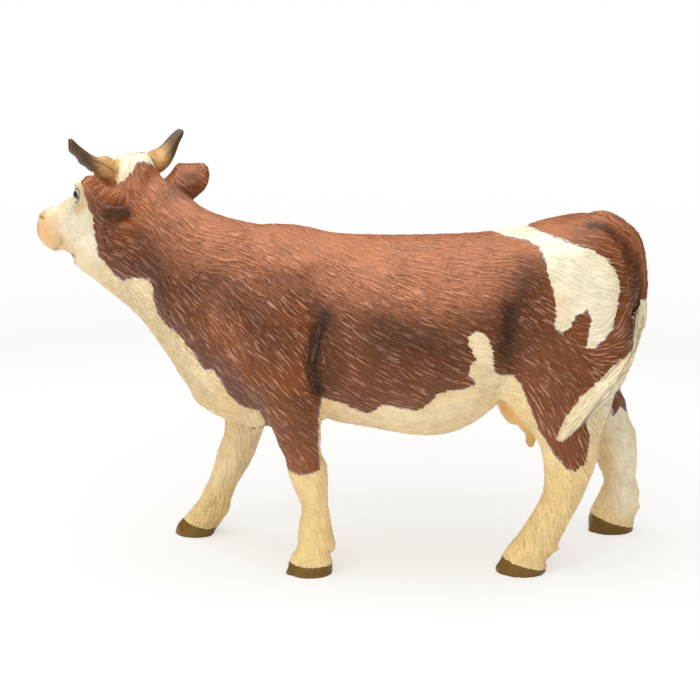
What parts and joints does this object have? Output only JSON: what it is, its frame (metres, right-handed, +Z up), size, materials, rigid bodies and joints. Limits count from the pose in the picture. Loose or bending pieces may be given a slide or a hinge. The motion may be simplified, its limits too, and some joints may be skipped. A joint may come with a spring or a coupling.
{
  "type": "toy farm animal figure",
  "caption": "Solid moulded toy cow with horns, walking stance and head turned to its right, hand-painted brown and cream, standing on its hooves",
  "frame": {"origin": "centre of the bounding box's footprint, on the plane that the hooves stand on", "axes": "the cow faces -X along its length, +Y is the cow's right, +Z is up"},
  "size_m": [0.146, 0.0558, 0.0983],
  "materials": {
    "brown_paint": "hand-painted brown over moulded hair strokes, with cream patches and a dark wash",
    "cream_paint": "hand-painted cream over moulded hair strokes, with olive-brown hooves",
    "horn_paint": "tan at the root, dark grey-brown at the tip",
    "udder_paint": "warm pinkish cream with a darker wash in the folds"
  },
  "bodies": {
    "root": {"torso": "brown_paint", "head_and_neck": "brown_paint", "left_horn": "horn_paint", "right_horn": "horn_paint", "left_ear": "brown_paint", "right_ear": "brown_paint", "front_left_leg": "cream_paint", "front_right_leg": "cream_paint", "rear_left_leg": "cream_paint", "rear_right_leg": "cream_paint", "tail": "brown_paint", "udder": "udder_paint"}
  },
  "joints": []
}
